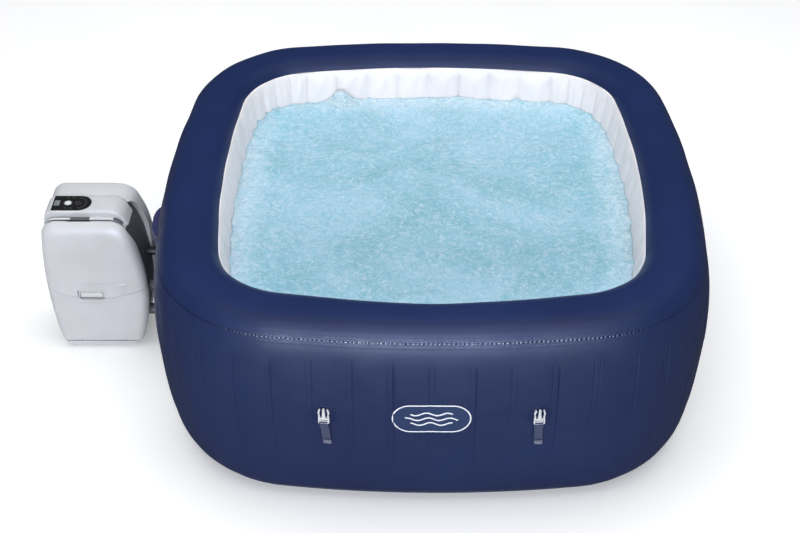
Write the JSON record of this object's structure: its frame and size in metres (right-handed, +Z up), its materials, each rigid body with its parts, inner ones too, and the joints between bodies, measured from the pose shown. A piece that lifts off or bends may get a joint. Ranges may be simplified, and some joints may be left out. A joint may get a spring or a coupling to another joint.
{
  "type": "inflatable hot tub",
  "caption": "Square inflatable hot tub with rounded corners, open basin, side clips and a barrel-shaped pump and heater unit coupled to one wall.",
  "frame": {"origin": "centre of the tub's underside, on the ground", "axes": "+Z up; the tub's front, with the badge, faces -Y; the pump unit stands on the -X side"},
  "size_m": [2.2139, 1.8016, 0.7099],
  "materials": {
    "navy_skin": "satin laminated PVC",
    "white_liner": "satin laminated PVC",
    "ground_grey": "matt laminated PVC",
    "beam_white": "bare PVC sheet",
    "navy_webbing": "woven polyester webbing",
    "buckle_grey": "moulded acetal",
    "valve_grey": "moulded",
    "shell_grey": "fine moulded texture",
    "core_dark": "fine moulded texture",
    "port_black": "moulded",
    "spigot_grey": "moulded",
    "panel_black": "printed membrane",
    "display_grey": "smoked window",
    "button_white": "satin",
    "rubber_black": "matt",
    "steel": "brushed",
    "inner_plastic": "moulded",
    "filter_media": "pleated polyester"
  },
  "bodies": {
    "root": {"ground_sheet": "ground_grey", "floor_liner": "white_liner", "outer_wall": "navy_skin", "top_ring": "navy_skin", "inner_wall": "white_liner", "wall_beams": "beam_white", "perimeter_welt": "navy_skin", "bubble_channel": "white_liner", "air_riser": "white_liner", "carry_handle": "navy_webbing", "emblem_patch": "navy_skin", "buckle_patches": "navy_skin", "drain_flange": "valve_grey", "drain_tether": "valve_grey", "inflation_valve": "valve_grey", "inlet_port": "port_black", "outlet_port": "port_black", "air_port": "port_black", "port_gaskets": "rubber_black", "outlet_screen": "valve_grey", "filter_housing": "valve_grey", "filter_cartridge": "filter_media", "core_casing": "core_dark", "front_shell": "shell_grey", "rear_shell": "shell_grey", "cover_hinge_pin": "steel", "top_bridge": "shell_grey", "control_panel": "panel_black", "display_window": "display_grey", "pump_feet": "rubber_black", "case_screws": "steel", "cord_gland": "port_black", "chassis_plate": "inner_plastic", "control_box": "inner_plastic", "water_spigots": "spigot_grey", "air_spigot": "spigot_grey", "pump_volute": "inner_plastic", "pump_motor": "steel", "pump_hose": "rubber_black", "heater_tube": "steel", "blower_housing": "inner_plastic", "front_left_strap": "navy_webbing", "front_right_strap": "navy_webbing", "rear_left_strap": "navy_webbing", "rear_right_strap": "navy_webbing"},
    "front_left_clip": {"front_left_buckle": "buckle_grey"},
    "front_right_clip": {"front_right_buckle": "buckle_grey"},
    "rear_left_clip": {"rear_left_buckle": "buckle_grey"},
    "rear_right_clip": {"rear_right_buckle": "buckle_grey"},
    "drain_closure": {"drain_cap": "valve_grey"},
    "valve_closure": {"inflation_valve_cap": "port_black"},
    "inlet_nut": {"inlet_union_nut": "port_black"},
    "outlet_nut": {"outlet_union_nut": "port_black"},
    "air_nut": {"air_union_nut": "port_black"},
    "filter_closure": {"filter_cap": "valve_grey"},
    "cover": {"lower_cover": "shell_grey"},
    "latch": {"cover_latch": "shell_grey"},
    "button": {"power_button": "button_white"},
    "impeller": {"pump_impeller": "inner_plastic"},
    "fan": {"blower_fan": "inner_plastic"}
  },
  "joints": [
    {"name": "front_left_clip_tilt", "type": "hinge", "parent": "root", "child": "front_left_clip", "pos_m": [-0.31668, -0.89459, 0.38], "axis": [0.9964, -0.0847, 0], "range_deg": [0, 80]},
    {"name": "front_right_clip_tilt", "type": "hinge", "parent": "root", "child": "front_right_clip", "pos_m": [0.31668, -0.89459, 0.38], "axis": [0.9964, 0.0847, 0], "range_deg": [0, 80]},
    {"name": "rear_left_clip_tilt", "type": "hinge", "parent": "root", "child": "rear_left_clip", "pos_m": [-0.31668, 0.89459, 0.38], "axis": [-0.9964, -0.0847, 0], "range_deg": [0, 80]},
    {"name": "rear_right_clip_tilt", "type": "hinge", "parent": "root", "child": "rear_right_clip", "pos_m": [0.31668, 0.89459, 0.38], "axis": [-0.9964, 0.0847, 0], "range_deg": [0, 80]},
    {"name": "drain_cap_turn", "type": "hinge", "parent": "root", "child": "drain_closure", "pos_m": [-0.86544, -0.38348, 0.09613], "axis": [-0.9651, -0.1002, -0.2419], "continuous": true},
    {"name": "valve_cap_turn", "type": "hinge", "parent": "root", "child": "valve_closure", "pos_m": [-0.88752, 0.36048, 0.54087], "axis": [-0.9915, 0.0961, 0.0872], "continuous": true},
    {"name": "inlet_nut_turn", "type": "hinge", "parent": "root", "child": "inlet_nut", "pos_m": [-0.926, -0.02, 0.099], "axis": [1, 0, 0], "continuous": true},
    {"name": "outlet_nut_turn", "type": "hinge", "parent": "root", "child": "outlet_nut", "pos_m": [-0.926, -0.02, 0.205], "axis": [1, 0, 0], "continuous": true},
    {"name": "air_nut_turn", "type": "hinge", "parent": "root", "child": "air_nut", "pos_m": [-0.926, 0.032, 0.316], "axis": [1, 0, 0], "continuous": true},
    {"name": "filter_cap_turn", "type": "hinge", "parent": "root", "child": "filter_closure", "pos_m": [-0.535, -0.02, 0.099], "axis": [1, 0, 0], "continuous": true},
    {"name": "impeller_spin", "type": "hinge", "parent": "root", "child": "impeller", "pos_m": [-1.04, -0.02, 0.099], "axis": [1, 0, 0], "continuous": true},
    {"name": "fan_spin", "type": "hinge", "parent": "root", "child": "fan", "pos_m": [-1.132, 0.012, 0.31], "axis": [0, 0, 1], "continuous": true},
    {"name": "cover_tilt", "type": "hinge", "parent": "root", "child": "cover", "pos_m": [-1.142, -0.119, 0.041], "axis": [1, 0, 0], "range_deg": [0, 60]},
    {"name": "latch_slide", "type": "slide", "parent": "cover", "child": "latch", "axis": [0, 0, -1], "range_m": [0, 0.004], "stiffness_N_per_m": 800, "springref_m": -0.001},
    {"name": "button_press", "type": "slide", "parent": "root", "child": "button", "axis": [0, 0, -1], "range_m": [0, 0.0012], "stiffness_N_per_m": 1500, "springref_m": -0.0003}
  ]
}
